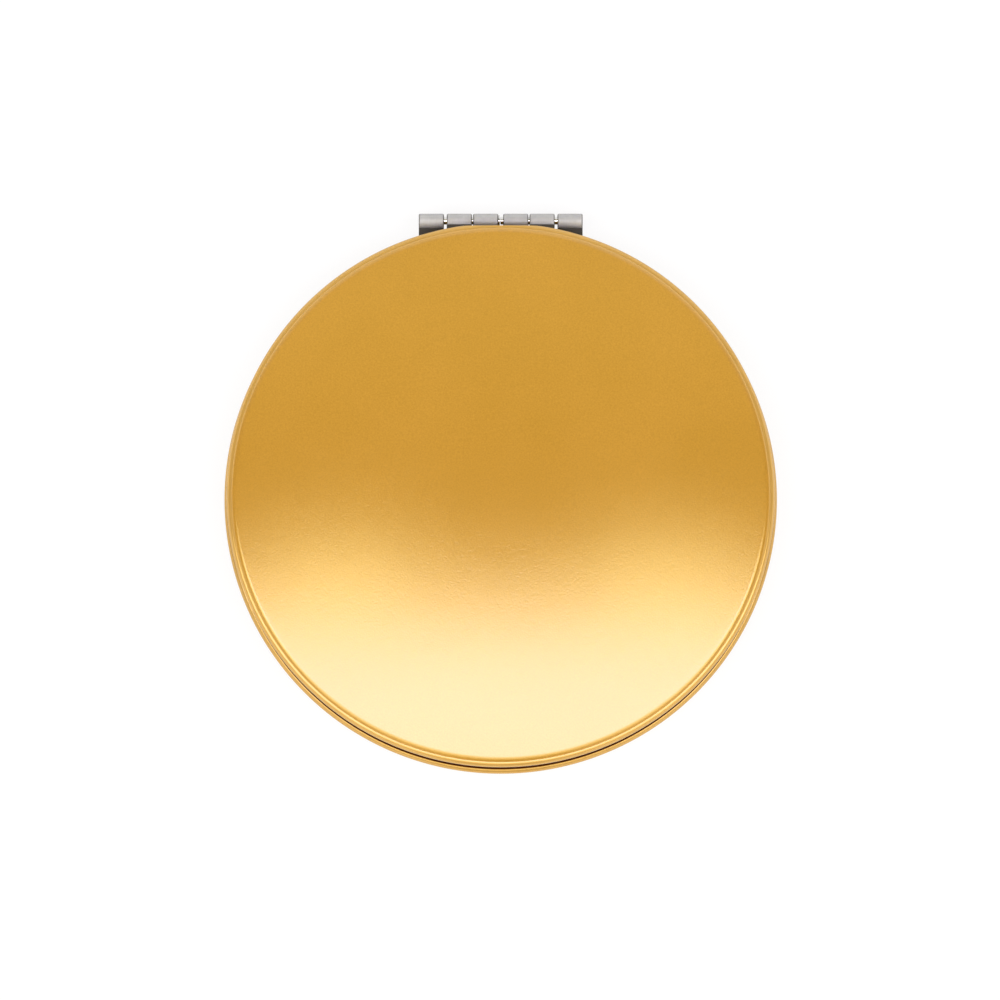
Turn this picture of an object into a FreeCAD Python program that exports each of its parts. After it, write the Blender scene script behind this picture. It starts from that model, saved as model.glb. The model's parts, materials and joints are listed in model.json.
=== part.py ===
import FreeCAD, Part
import math
import os
from FreeCAD import Vector

# Round folding pocket mirror, shut and lying on its base. Millimetres, +Z up, hinge at the back (+Y),
# origin at the centre of the flat foot. Both halves are drawn alike, with z measured from the seam
# towards the crown: the lid stands as drawn, and the base is turned half a turn about the Y axis.

# Pressed shells
case_diameter = 70.0        # over the base's rim bead
lid_setback = 0.29          # lid's rim inside the base's, in radius
shell_sheet = 0.4
bead_radius = 0.6
bead_crease_angle = 4.0     # from the bead's crest to its crease beside the dome, degrees
neck_inset = 0.45           # how far each neck lies inside its bead
edge_roll_radius = 1.24     # where the dome turns down into the crease
edge_roll_angle = 40.0      # slope at the crease, degrees
lid_crown_radius = 277.0
base_crown_radius = 105.0
foot_diameter = 26.0        # flat that the base stands on
shell_corner = 0.5          # slope inside the shell, from the dome to the neck
seam_gap = 0.1

# Mirrors, their tape and backing plates
mirror_thickness = 1.3
mirror_chamfer = 0.12
mirror_clearance = 0.08
mirror_lip_overlap = 0.7    # how far the frame's lip covers the glass
magnifier_sag = 0.4         # depth of the curve in the magnifying glass
tape_thickness = 0.8
tape_thinnest = 0.6         # foam left under the middle of the magnifying glass
tape_margin = 2.0
tape_hole_diameter = 28.0
backing_thickness = 0.4
backing_clearance = 0.05

# Moulded frames
frame_recess = 0.1          # frame face below the shell's lip
frame_clearance = 0.06
frame_wall = 0.5
dome_clearance = 0.2

# Magnets
magnet_diameter = 3.0
magnet_thickness = 1.2
magnet_clearance = 0.03
cup_wall = 0.4
cup_floor = 0.3

# Hinges: two alike, side by side, each with three knuckles
pin_diameter = 1.0
pin_clearance = 0.02
leaf_sheet = 0.36
leaf_drop = 0.1             # leaf joggled below the top of its barrel
barrel_tuck = 0.54          # how far the barrels reach in under the base's bead
curl_mouth_angle = 75.0     # left open between the curl's end and its leaf, degrees
knuckle_width = 3.185
knuckle_inner_gap = 0.15
knuckle_outer_gap = 0.36
knuckle_edge_radius = 0.2
knuckle_relief = 0.78       # lower leaf clear of the upper knuckle
centre_gap = 0.63           # between the two hinges
leaf_margin = 0.3           # leaf clear of the mirror wall
leaf_shade = 0.15           # upper leaf kept under the lid's bead
notch_clearance = 0.15
notch_headroom = 0.1
bead_flat = 0.35            # depth of the flat on each bead in front of the barrels, at its middle
pin_stub = 0.35             # pin end past the inner knuckle
pin_head_diameter = 1.4
pin_head_thickness = 0.2
pin_chamfer = 0.12

# Rivets, two in each leaf
rivet_shank_diameter = 1.0
rivet_head_diameter = 1.8
rivet_head_thickness = 0.15
rivet_tail_diameter = 1.6
rivet_tail_height = 0.35
rivet_clearance = 0.03
rivet_spacing = 5.6

# Rims
case_radius = case_diameter / 2
lid_rim_radius = case_radius - lid_setback
lip_z = seam_gap / 2

# Hinge section: the leaf lies a little lower than the top of the barrel it is rolled into
bore_radius = pin_diameter / 2 + pin_clearance
barrel_radius = bore_radius + leaf_sheet
hinge_y = case_radius + barrel_radius - barrel_tuck
leaf_z = bore_radius - leaf_drop
leaf_top = leaf_z + leaf_sheet

# Frame and glass: in the lid, the channel between the two walls is as wide as the magnet's pocket
frame_face = lip_z + frame_recess
pocket_radius = magnet_diameter / 2 + magnet_clearance
skirt_inset = neck_inset + shell_sheet + frame_clearance
wall_radius = lid_rim_radius - skirt_inset - frame_wall - 2 * pocket_radius
wall_bore = wall_radius - frame_wall
mirror_radius = wall_bore - mirror_clearance
lip_bore = mirror_radius - mirror_lip_overlap
magnet_row = wall_radius + pocket_radius
mirror_back = leaf_z + mirror_thickness

# Knuckles of the right-hand hinge, from the middle outwards
inner_knuckle = centre_gap / 2
middle_knuckle = inner_knuckle + knuckle_width + knuckle_inner_gap
outer_knuckle = middle_knuckle + knuckle_width + knuckle_outer_gap
hinge_reach = outer_knuckle + knuckle_width
leaf_edge = wall_radius + leaf_margin
upper_plate_edge = math.sqrt(lid_rim_radius ** 2 - hinge_reach ** 2) - leaf_shade
lower_plate_edge = hinge_y - barrel_radius - knuckle_relief
rivet_row = (leaf_edge + upper_plate_edge) / 2
rivet_middle = (inner_knuckle + hinge_reach) / 2
rivet_places = [rivet_middle - rivet_spacing / 2, rivet_middle + rivet_spacing / 2]
notch_reach = hinge_reach + notch_clearance

up = Vector(0, 0, 1)
along = Vector(1, 0, 0)
overshoot = 1.0             # how far a cutting tool stands past what it cuts


class Half:
    """Radii of one half, and its heights from the seam, which follow from what lies behind its glass."""

    def __init__(self, rim_radius, crown_radius, flat_radius, sag, tape):
        self.rim_radius = rim_radius
        self.bead_centre_radius = rim_radius - bead_radius
        self.neck_radius = rim_radius - neck_inset
        self.neck_bore = self.neck_radius - shell_sheet
        self.skirt_radius = rim_radius - skirt_inset
        self.skirt_bore = self.skirt_radius - frame_wall
        crease_offset = bead_radius * math.sin(math.radians(bead_crease_angle))
        self.crease_radius = self.bead_centre_radius - crease_offset

        self.crown_radius = crown_radius
        self.flat_radius = flat_radius
        self.sag = sag
        self.tape_back = mirror_back + sag + tape
        self.wall_top = self.tape_back + backing_thickness

        slope = math.asin((wall_radius - flat_radius) / crown_radius)
        dome_over_wall = self.wall_top + dome_clearance + shell_sheet / math.cos(slope)
        self.apex = dome_over_wall + crown_radius * (1 - math.cos(slope))

        roll = edge_roll_radius / crown_radius
        roll_reach = edge_roll_radius * math.sin(math.radians(edge_roll_angle))
        self.shoulder_radius = (self.crease_radius - roll_reach - roll * flat_radius) / (1 - roll)
        self.shoulder_slope = math.asin((self.shoulder_radius - flat_radius) / crown_radius)
        self.shoulder_z = self.crown_height(self.shoulder_radius)
        roll_drop = math.cos(self.shoulder_slope) - math.cos(math.radians(edge_roll_angle))
        self.crease_z = self.shoulder_z - edge_roll_radius * roll_drop
        self.bead_z = self.crease_z - bead_radius * math.cos(math.radians(bead_crease_angle))

        self.corner_radius = self.neck_bore - shell_corner
        self.corner_z = self.crown_height(self.corner_radius, shell_sheet)
        self.skirt_top = self.corner_z - shell_corner - frame_clearance

    def crown_height(self, radius, depth=0.0):
        """Height of the crown at a radius, or of the surface that lies depth inside it."""
        sphere = self.crown_radius - depth
        reach = max(radius - self.flat_radius, 0.0)
        return self.apex - self.crown_radius + math.sqrt(sphere ** 2 - reach ** 2)


lid = Half(lid_rim_radius, lid_crown_radius, 0.0, 0.0, tape_thickness)
base = Half(case_radius, base_crown_radius, foot_diameter / 2, magnifier_sag, tape_thinnest)
seam_z = base.apex


def on_section(radius, z):
    """Point of a half's section, in the XZ plane."""
    return Vector(radius, 0, z)


def line(start, end):
    """Straight edge."""
    return Part.LineSegment(start, end).toShape()


def arc(start, middle, end):
    """Round edge through three points."""
    return Part.Arc(start, middle, end).toShape()


def crown_arc(half, start_radius, end_radius, depth):
    """Crown's section between two radii, depth inside its outer face."""
    middle_radius = (start_radius + end_radius) / 2
    radii = [start_radius, middle_radius, end_radius]
    return arc(*[on_section(r, half.crown_height(r, depth)) for r in radii])


def turned(edges):
    """Solid of revolution about Z from the edges of a closed section."""
    face = Part.Face(Part.Wire(edges))
    return face.revolve(Vector(0, 0, 0), up, 360)


def ring(outer, inner, bottom, top):
    """Plain ring about Z, or a disc where the inner radius is zero."""
    height = top - bottom
    body = Part.makeCylinder(outer, height, Vector(0, 0, bottom))
    if inner > 0:
        tall = height + 2 * overshoot
        body = body.cut(Part.makeCylinder(inner, tall, Vector(0, 0, bottom - overshoot)))
    return body


def block(x, y, z):
    """Box from three (low, high) pairs."""
    size = [high - low for low, high in (x, y, z)]
    return Part.makeBox(*size, Vector(x[0], y[0], z[0]))


def shell(half):
    """Pressed shell: crown, rolled edge, bead and neck, notched and flattened for the hinges."""
    flat = half.flat_radius
    roll_start = half.shoulder_slope
    roll_end = math.radians(edge_roll_angle)
    roll_middle = (roll_start + roll_end) / 2
    roll_centre = on_section(
        half.shoulder_radius - edge_roll_radius * math.sin(roll_start),
        half.shoulder_z - edge_roll_radius * math.cos(roll_start),
    )
    shoulder = on_section(half.shoulder_radius, half.shoulder_z)
    roll = roll_centre + edge_roll_radius * on_section(math.sin(roll_middle), math.cos(roll_middle))
    crease = on_section(half.crease_radius, half.crease_z)
    bead_foot_drop = math.sqrt(bead_radius ** 2 - (half.neck_radius - half.bead_centre_radius) ** 2)
    bead_foot = on_section(half.neck_radius, half.bead_z - bead_foot_drop)
    lip_outer = on_section(half.neck_radius, lip_z)
    lip_inner = on_section(half.neck_bore, lip_z)
    corner_foot = on_section(half.neck_bore, half.corner_z - shell_corner)
    corner = on_section(half.corner_radius, half.corner_z)
    inside_apex = on_section(0, half.apex - shell_sheet)
    apex = on_section(0, half.apex)

    edges = [
        crown_arc(half, flat, half.shoulder_radius, 0.0),
        arc(shoulder, roll, crease),
        arc(crease, on_section(half.rim_radius, half.bead_z), bead_foot),
        line(bead_foot, lip_outer),
        line(lip_outer, lip_inner),
        line(lip_inner, corner_foot),
        line(corner_foot, corner),
        crown_arc(half, half.corner_radius, flat, shell_sheet),
    ]
    if flat > 0:
        edges.append(line(on_section(flat, half.apex - shell_sheet), inside_apex))
    edges.append(line(inside_apex, apex))
    if flat > 0:
        edges.append(line(apex, on_section(flat, half.apex)))

    notch = block(
        (-notch_reach, notch_reach),
        (leaf_edge, case_radius + overshoot),
        (lip_z - overshoot, leaf_top + notch_headroom),
    )
    flattened = block(
        (-notch_reach, notch_reach),
        (half.rim_radius - bead_flat, case_radius + overshoot),
        (lip_z, half.crease_z + overshoot),
    )
    return turned(edges).cut([notch, flattened])


def magnet_at(radius, bottom, top):
    """Cylinder at the magnet's place, in the middle of the front."""
    return Part.makeCylinder(radius, top - bottom, Vector(0, -magnet_row, bottom))


def frame(half):
    """Moulded ring: flange with the lip over the glass, mirror wall, skirt, magnet cup and rivet holes."""
    pocket_floor = frame_face + magnet_thickness + magnet_clearance
    cup = magnet_at(pocket_radius + cup_wall, leaf_z, pocket_floor + cup_floor)
    cup = cup.common(ring(half.skirt_bore, wall_bore, leaf_z, pocket_floor + cup_floor))
    body = ring(half.skirt_radius, lip_bore, frame_face, leaf_z).multiFuse([
        ring(wall_radius, wall_bore, leaf_z, half.wall_top),
        ring(half.skirt_radius, half.skirt_bore, leaf_z, half.skirt_top),
        cup,
    ])
    leaf_bay = block(
        (-notch_reach, notch_reach),
        (leaf_edge - leaf_margin / 2, case_radius),
        (leaf_z, half.skirt_top + overshoot),
    )
    tools = [leaf_bay, magnet_at(pocket_radius, frame_face - overshoot, pocket_floor)]
    below = frame_face - overshoot
    head_seat = frame_face + rivet_head_thickness
    for place in rivet_spots():
        tools.append(rivet_cylinder(place, rivet_shank_diameter, below, leaf_top, rivet_clearance))
        tools.append(rivet_cylinder(place, rivet_head_diameter, below, head_seat, rivet_clearance))
    return body.cut(tools).removeSplitter()


def glass(half):
    """Round mirror with ground edges: flat, or bowed evenly where the half has a sag."""
    flat_reach = mirror_radius - mirror_chamfer
    front_edge = on_section(flat_reach, leaf_z)
    front_side = on_section(mirror_radius, leaf_z + mirror_chamfer)
    back_side = on_section(mirror_radius, mirror_back - mirror_chamfer)
    back_edge = on_section(flat_reach, mirror_back)
    back_middle = on_section(0, mirror_back + half.sag)
    front_middle = on_section(0, leaf_z + half.sag)
    return turned([
        bowed(half, front_middle, front_edge),
        line(front_edge, front_side),
        line(front_side, back_side),
        line(back_side, back_edge),
        bowed(half, back_middle, back_edge),
        line(back_middle, front_middle),
    ])


def bowed(half, middle, edge):
    """Section of a face that is bowed by the half's sag, or straight where that is zero."""
    if half.sag == 0:
        return line(middle, edge)
    quarter = on_section(edge.x / 2, edge.z + bow_height(half, edge.x / 2, edge.x))
    return arc(middle, quarter, edge)


def bow_height(half, radius, reach):
    """Height of the bow over its edge at a radius, where it rises by the sag over the reach."""
    sphere = (reach ** 2 + half.sag ** 2) / (2 * half.sag)
    return math.sqrt(sphere ** 2 - radius ** 2) - (sphere - half.sag)


def lid_tape():
    """Foam disc between the flat glass and its backing plate."""
    return ring(mirror_radius - tape_margin, 0, mirror_back, lid.tape_back)


def base_tape():
    """Foam ring that fills in behind the bowed glass, flat where the backing plate lies on it."""
    bowl = glass(base)
    blank = ring(mirror_radius - tape_margin, tape_hole_diameter / 2, leaf_z, base.tape_back)
    behind = ring(mirror_radius, 0, mirror_back, base.tape_back)
    return blank.common(behind).cut(bowl)


def backing_plate(half):
    """Thin disc that closes the frame behind the tape."""
    return ring(wall_bore - backing_clearance, 0, half.tape_back, half.wall_top)


def magnet():
    """Disc magnet, flush with the frame's face."""
    return magnet_at(magnet_diameter / 2, frame_face, frame_face + magnet_thickness)


def barrel_section(start):
    """Section of a knuckle's rolled sheet behind the pin, with its two outer corners rounded."""
    end = start + knuckle_width
    edge = knuckle_edge_radius
    bulge = edge * (1 - math.cos(math.pi / 4))

    def at(x, radius):
        return Vector(x, hinge_y + radius, 0)

    corners = [
        at(start, bore_radius),
        at(end, bore_radius),
        at(end, barrel_radius - edge),
        at(end - edge, barrel_radius),
        at(start + edge, barrel_radius),
        at(start, barrel_radius - edge),
    ]
    return Part.Face(Part.Wire([
        line(corners[0], corners[1]),
        line(corners[1], corners[2]),
        arc(corners[2], at(end - bulge, barrel_radius - bulge), corners[3]),
        line(corners[3], corners[4]),
        arc(corners[4], at(start + bulge, barrel_radius - bulge), corners[5]),
        line(corners[5], corners[0]),
    ]))


def knuckle(start, plate_edge):
    """One knuckle: a strip of the leaf from its plate to the pin, rolled round the bore."""
    sheet_radius = (bore_radius + barrel_radius) / 2
    sheet_z = (leaf_z + leaf_top) / 2
    curl_start = 180 - math.degrees(math.asin(sheet_z / sheet_radius))
    curl_end = 90 + curl_mouth_angle - 360
    pin_axis = Vector(0, hinge_y, 0)
    section = barrel_section(start)
    section.rotate(pin_axis, along, curl_start)
    curl = section.revolve(pin_axis, along * -1, curl_start - curl_end)

    reach = math.sqrt(sheet_radius ** 2 - sheet_z ** 2)
    strip = block(
        (start, start + knuckle_width),
        ((leaf_edge + plate_edge) / 2, hinge_y - reach),
        (leaf_z, leaf_top),
    )
    bore = Part.makeCylinder(bore_radius, knuckle_width, Vector(start, hinge_y, 0), along)
    return strip.fuse(curl).cut(bore)


def leaf(knuckle_starts, plate_edge):
    """Hinge leaf of the right-hand side: a riveted plate and its knuckles."""
    plate = block((inner_knuckle, hinge_reach), (leaf_edge, plate_edge), (leaf_z, leaf_top))
    body = plate.multiFuse([knuckle(start, plate_edge) for start in knuckle_starts])
    below = leaf_z - overshoot
    above = leaf_top + overshoot
    holes = [
        rivet_cylinder((x, rivet_row), rivet_shank_diameter, below, above, rivet_clearance)
        for x in rivet_places
    ]
    return body.cut(holes).removeSplitter()


def upper_leaf():
    """Lid's leaf, with the middle knuckle."""
    return leaf([middle_knuckle], upper_plate_edge)


def lower_leaf():
    """Base's leaf, with the knuckles on both sides of the lid's."""
    return leaf([inner_knuckle, outer_knuckle], lower_plate_edge)


def pin(headed):
    """Hinge pin of the right-hand side, with a peened head between the hinges if it is headed."""
    inner_end = inner_knuckle if headed else inner_knuckle - pin_stub
    length = hinge_reach - inner_end
    shaft = Part.makeCylinder(pin_diameter / 2, length, Vector(inner_end, hinge_y, 0), along)
    outer_rim = [edge for edge in shaft.Edges if abs(edge.BoundBox.XMin - hinge_reach) < pin_chamfer]
    shaft = shaft.makeChamfer(pin_chamfer, outer_rim)
    if not headed:
        return shaft
    head_start = Vector(inner_end - pin_head_thickness, hinge_y, 0)
    head = Part.makeCylinder(pin_head_diameter / 2, pin_head_thickness, head_start, along)
    return shaft.fuse(head)


def rivet_spots():
    """Places of the rivets in one half, right and left."""
    return [(side * x, rivet_row) for side in (1, -1) for x in rivet_places]


def rivet_cylinder(place, diameter, bottom, top, clearance=0.0):
    """Upright cylinder at a rivet's place, grown by a clearance where it cuts that rivet's hole."""
    return Part.makeCylinder(diameter / 2 + clearance, top - bottom, Vector(*place, bottom))


def rivet(place):
    """Rivet with a flat head sunk into the frame's face and a low tail on the leaf."""
    tail_top = leaf_top + rivet_tail_height
    tail = rivet_cylinder(place, rivet_tail_diameter, leaf_top, tail_top)
    tail_rim = [edge for edge in tail.Edges if edge.BoundBox.ZMin > leaf_top + rivet_tail_height / 2]
    tail = tail.makeChamfer(rivet_tail_height / 2, tail_rim)
    return tail.multiFuse([
        rivet_cylinder(place, rivet_shank_diameter, frame_face, leaf_top),
        rivet_cylinder(place, rivet_head_diameter, frame_face, frame_face + rivet_head_thickness),
    ])


def rivets():
    """All the rivets of one half."""
    return Part.makeCompound([rivet(place) for place in rivet_spots()])


def to_left(shape):
    """The same piece on the left-hand hinge."""
    return shape.mirror(Vector(0, 0, 0), along)


def in_lid(shape):
    """Sets a piece drawn from the seam into the lid."""
    return shape.translated(up * seam_z)


def in_base(shape):
    """Sets a piece drawn from the seam into the base, half a turn about the Y axis."""
    turned_over = shape.copy()
    turned_over.rotate(Vector(0, 0, 0), Vector(0, 1, 0), 180)
    return turned_over.translated(up * seam_z)


def pieces():
    """Every piece in its place, by node name."""
    return {
        "lid_shell": in_lid(shell(lid)),
        "lid_frame": in_lid(frame(lid)),
        "lid_mirror": in_lid(glass(lid)),
        "lid_mirror_tape": in_lid(lid_tape()),
        "lid_backing_plate": in_lid(backing_plate(lid)),
        "lid_magnet": in_lid(magnet()),
        "lid_hinge_rivets": in_lid(rivets()),
        "hinge_upper_leaf_right": in_lid(upper_leaf()),
        "hinge_upper_leaf_left": in_lid(to_left(upper_leaf())),
        "base_shell": in_base(shell(base)),
        "base_frame": in_base(frame(base)),
        "base_mirror": in_base(glass(base)),
        "base_mirror_tape": in_base(base_tape()),
        "base_backing_plate": in_base(backing_plate(base)),
        "base_magnet": in_base(magnet()),
        "base_hinge_rivets": in_base(rivets()),
        "hinge_lower_leaf_right": in_base(to_left(lower_leaf())),
        "hinge_lower_leaf_left": in_base(lower_leaf()),
        "hinge_pin_right": in_lid(pin(headed=False)),
        "hinge_pin_left": in_lid(to_left(pin(headed=True))),
    }


def main():
    """Writes one STEP file for each piece."""
    os.makedirs("parts", exist_ok=True)
    for name, shape in pieces().items():
        shape.exportStep(f"parts/{name}.step")
        solids = len(shape.Solids)
        print(f"{name}: {solids} solid(s), {shape.Volume:.2f} mm3, valid {shape.isValid()}")
    print(f"seam at {seam_z:.6f}, height {lid.apex + base.apex:.6f}, hinge axis at y {hinge_y:.6f}")


main()
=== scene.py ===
"""Looks of a round folding pocket mirror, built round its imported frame.

Lengths are metres: +Z up, hinge at the back (+Y). A half is drawn from the seam towards its crown,
then set into the lid as drawn, or into the base with half a turn about the Y axis.
"""

import json
import logging
import math
from dataclasses import dataclass
from enum import Enum
from typing import Any

import bpy
from mathutils import Matrix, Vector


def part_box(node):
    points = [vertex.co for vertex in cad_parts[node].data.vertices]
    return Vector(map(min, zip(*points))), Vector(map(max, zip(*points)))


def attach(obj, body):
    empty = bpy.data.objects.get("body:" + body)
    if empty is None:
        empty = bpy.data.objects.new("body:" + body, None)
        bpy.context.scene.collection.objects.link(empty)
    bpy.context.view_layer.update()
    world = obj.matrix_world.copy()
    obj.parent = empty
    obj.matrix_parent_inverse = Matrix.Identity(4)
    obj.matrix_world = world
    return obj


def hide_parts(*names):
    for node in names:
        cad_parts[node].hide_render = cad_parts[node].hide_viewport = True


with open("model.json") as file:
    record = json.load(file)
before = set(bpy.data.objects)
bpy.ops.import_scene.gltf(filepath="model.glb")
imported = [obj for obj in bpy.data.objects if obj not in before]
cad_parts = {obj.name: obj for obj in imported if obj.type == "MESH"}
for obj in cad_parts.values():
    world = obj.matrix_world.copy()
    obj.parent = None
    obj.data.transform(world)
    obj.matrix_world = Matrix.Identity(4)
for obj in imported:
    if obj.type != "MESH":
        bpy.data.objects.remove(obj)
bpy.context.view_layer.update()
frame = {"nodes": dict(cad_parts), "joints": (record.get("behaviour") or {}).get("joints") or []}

log = logging.getLogger("pocket_mirror")

Triple = tuple[float, float, float]
Point = tuple[float, float]
Socket = bpy.types.NodeSocket

MM = 0.001
SHARP_ANGLE = math.radians(35.0)
# Points closer together than this become one.
WELD = 1e-6
# How far a cutter runs past the face that it cuts.
PAST = 1.0 * MM
# Faces that a rounded edge is divided into, and a very small one.
EDGE_STEPS = 5
TINY_STEPS = 4
# Faces round a magnet, and round a rivet or a pin.
DISC_FACES = 64
ROD_FACES = 48
# Where the seam lies and the pins run, for the painted shade in the groove and on the hinge steel, which
# changes by place.
SEAM_Z = 5.1505 * MM
HINGE_Y = 35.34 * MM


class Side(Enum):
    """Half of the case that a piece belongs to; the value is the name of its body."""

    LID = "lid"
    BASE = "base"


class Hand(Enum):
    """Hinge of the pair, seen from the front; the value is the sign of its X."""

    LEFT = -1
    RIGHT = 1


class Graph:
    """Node tree with short calls to add, feed and link its nodes."""

    def __init__(self, tree: bpy.types.NodeTree) -> None:
        """Wraps a tree."""
        self.tree = tree

    @classmethod
    def blank(cls, owner: Any) -> "Graph":
        """Emptied node tree of a material or a world."""
        owner.use_nodes = True
        owner.node_tree.nodes.clear()
        return cls(owner.node_tree)

    def add(self, kind: str, inputs: dict[Any, Any] | None = None, **settings: Any) -> bpy.types.Node:
        """Adds a node.

        Args:
            kind: Blender's name for the type of node.
            inputs: value or socket for each input, by its name or place.
            settings: the node's own options, set before its inputs.

        Returns:
            The new node.
        """
        node = self.tree.nodes.new(kind)
        for name, value in settings.items():
            setattr(node, name, value)
        for key, value in (inputs or {}).items():
            self.feed(node.inputs[key], value)
        return node

    def feed(self, socket: Socket, value: Any) -> None:
        """Links one or more outputs into an input, or sets the input to a plain value.

        Args:
            socket: the input.
            value: another node's output, a list of them, or a value.
        """
        if isinstance(value, list):
            for source in value:
                self.tree.links.new(source, socket)
        elif isinstance(value, bpy.types.NodeSocket):
            self.tree.links.new(value, socket)
        else:
            socket.default_value = value

    def maths(self, operation: str, first: Any, second: Any = 0.0) -> Socket:
        """Result of a Math node on numbers or sockets."""
        return self.add("ShaderNodeMath", {0: first, 1: second}, operation=operation).outputs[0]

    def vector(self, operation: str, first: Any, second: Any = (0.0, 0.0, 0.0)) -> Socket:
        """Result of a Vector Math node: a number for a length, else a vector."""
        node = self.add("ShaderNodeVectorMath", {0: first, 1: second}, operation=operation)
        return node.outputs["Value" if operation == "LENGTH" else "Vector"]

    def axis(self, vector: Socket, index: int) -> Socket:
        """One of a vector's three numbers, by its place."""
        return self.add("ShaderNodeSeparateXYZ", {0: vector}).outputs[index]

    def span(self, value: Socket, low: float, high: float, start: Any, end: Any) -> Socket:
        """Start where a value is low or less, end where it is high or more, and between them in step."""
        ranged = {"Value": value, "From Min": low, "From Max": high, "To Min": start, "To Max": end}
        return self.add("ShaderNodeMapRange", ranged).outputs["Result"]

    def blend(self, share: Socket, first: Any, second: Any) -> Socket:
        """Colour between two colours, by the share of the second."""
        return self.add("ShaderNodeMix", {0: share, 6: first, 7: second}, data_type="RGBA").outputs[2]


class Shaping(Graph):
    """Geometry node tree that makes a finished piece from a drawn line."""

    SOCKETS = {int: "NodeSocketInt", float: "NodeSocketFloat", tuple: "NodeSocketVector"}

    def __init__(self, name: str, inputs: dict[str, type]) -> None:
        """Makes the tree with its named inputs.

        Args:
            name: name of the tree.
            inputs: type of each size that the tree takes.
        """
        super().__init__(bpy.data.node_groups.new(name, "GeometryNodeTree"))
        face = self.tree.interface
        face.new_socket("Geometry", in_out="OUTPUT", socket_type="NodeSocketGeometry")
        face.new_socket("Drawn Line", in_out="INPUT", socket_type="NodeSocketGeometry")
        common = {"Turn": tuple, "Place": tuple, "Material": bpy.types.Material}
        for label, kind in {**inputs, **common}.items():
            socket_type = self.SOCKETS.get(kind, "NodeSocketMaterial")
            face.new_socket(label, in_out="INPUT", socket_type=socket_type)
        self.given = self.tree.nodes.new("NodeGroupInput")
        self.result = self.tree.nodes.new("NodeGroupOutput")

    def size(self, label: str) -> Socket:
        """Output of the tree's own input with that label."""
        return self.given.outputs[label]

    def lathe(self, segments: Any) -> Socket:
        """Turns the drawn line about Z: its points are radius (X) and height (Z).

        Args:
            segments: number of faces round the turn.

        Returns:
            The turned surface, with its seam and poles welded.
        """
        line = self.size("Drawn Line")
        counted = self.add("GeometryNodeAttributeDomainSize", {0: line}, component="MESH")
        count = counted.outputs["Point Count"]
        last = self.maths("SUBTRACT", count, 1.0)
        sheet = self.add("GeometryNodeMeshGrid", {
            "Size X": last, "Size Y": 1.0,
            "Vertices X": count, "Vertices Y": self.maths("ADD", segments, 1.0),
        })
        position = self.add("GeometryNodeInputPosition").outputs[0]
        across = self.add("ShaderNodeSeparateXYZ", {0: position})
        middle = self.maths("MULTIPLY", last, 0.5)
        step = self.maths("ADD", self.maths("ADD", across.outputs[0], middle), 0.5)
        drawn = self.add(
            "GeometryNodeSampleIndex", {"Geometry": line, "Index": step},
            data_type="FLOAT_VECTOR", domain="POINT",
        )
        self.feed(drawn.inputs["Value"], position)
        place = self.add("ShaderNodeSeparateXYZ", {0: drawn.outputs["Value"]})
        turn = self.maths("MULTIPLY", self.maths("ADD", across.outputs[1], 0.5), math.tau)
        spun = self.add("ShaderNodeCombineXYZ", {
            0: self.maths("MULTIPLY", place.outputs[0], self.maths("COSINE", turn)),
            1: self.maths("MULTIPLY", place.outputs[0], self.maths("SINE", turn)),
            2: place.outputs[2],
        })
        moved = self.add("GeometryNodeSetPosition", {0: sheet.outputs[0], "Position": spun.outputs[0]})
        return self.add("GeometryNodeMergeByDistance", {0: moved.outputs[0], "Distance": WELD}).outputs[0]

    @staticmethod
    def block_inputs(*labels: str) -> dict[str, type]:
        """Inputs that the boxes with those labels take."""
        return {f"{label} {size}": tuple for label in labels for size in ("Size", "Centre")}

    @staticmethod
    def drum_inputs(*labels: str) -> dict[str, type]:
        """Inputs that the cylinders with those labels take."""
        kinds = {"Radius": float, "Depth": float, "Centre": tuple}
        return {f"{label} {size}": kind for label in labels for size, kind in kinds.items()}

    def block(self, label: str) -> Socket:
        """Box from the inputs with that label."""
        box = self.add("GeometryNodeMeshCube", {"Size": self.size(label + " Size")}).outputs[0]
        return self.moved(box, self.size(label + " Centre"))

    def drum(self, label: str) -> Socket:
        """Upright cylinder from the inputs with that label."""
        sizes = {size: self.size(f"{label} {size}") for size in ("Radius", "Depth")}
        drum = self.add("GeometryNodeMeshCylinder", {"Vertices": DISC_FACES, **sizes}).outputs[0]
        return self.moved(drum, self.size(label + " Centre"))

    def moved(self, geometry: Socket, place: Any, turn: Any = (0.0, 0.0, 0.0)) -> Socket:
        """Geometry turned and then set in its place."""
        moves = {"Geometry": geometry, "Translation": place, "Rotation": turn}
        return self.add("GeometryNodeTransform", moves).outputs[0]

    def copies(self, geometry: Socket, points: Socket) -> Socket:
        """Real copies of a geometry on points."""
        spread = self.add("GeometryNodeInstanceOnPoints", {"Points": points, "Instance": geometry})
        return self.add("GeometryNodeRealizeInstances", {0: spread.outputs[0]}).outputs[0]

    def pair(self, first: Any, step: Any) -> Socket:
        """Two points, the second one step from the first."""
        sizes = {"Count": 2, "Start Location": first, "Offset": step}
        return self.add("GeometryNodeMeshLine", sizes, mode="OFFSET").outputs[0]

    def cut(self, body: Socket, tool: Socket) -> Socket:
        """Body with a tool taken out of it."""
        both = {0: body, 1: tool}
        return self.add("GeometryNodeMeshBoolean", both, operation="DIFFERENCE", solver="EXACT").outputs[0]

    def joined(self, bodies: list[Socket]) -> Socket:
        """Bodies fused into one."""
        return self.add("GeometryNodeMeshBoolean", {1: bodies}, operation="UNION", solver="EXACT").outputs[0]

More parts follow.
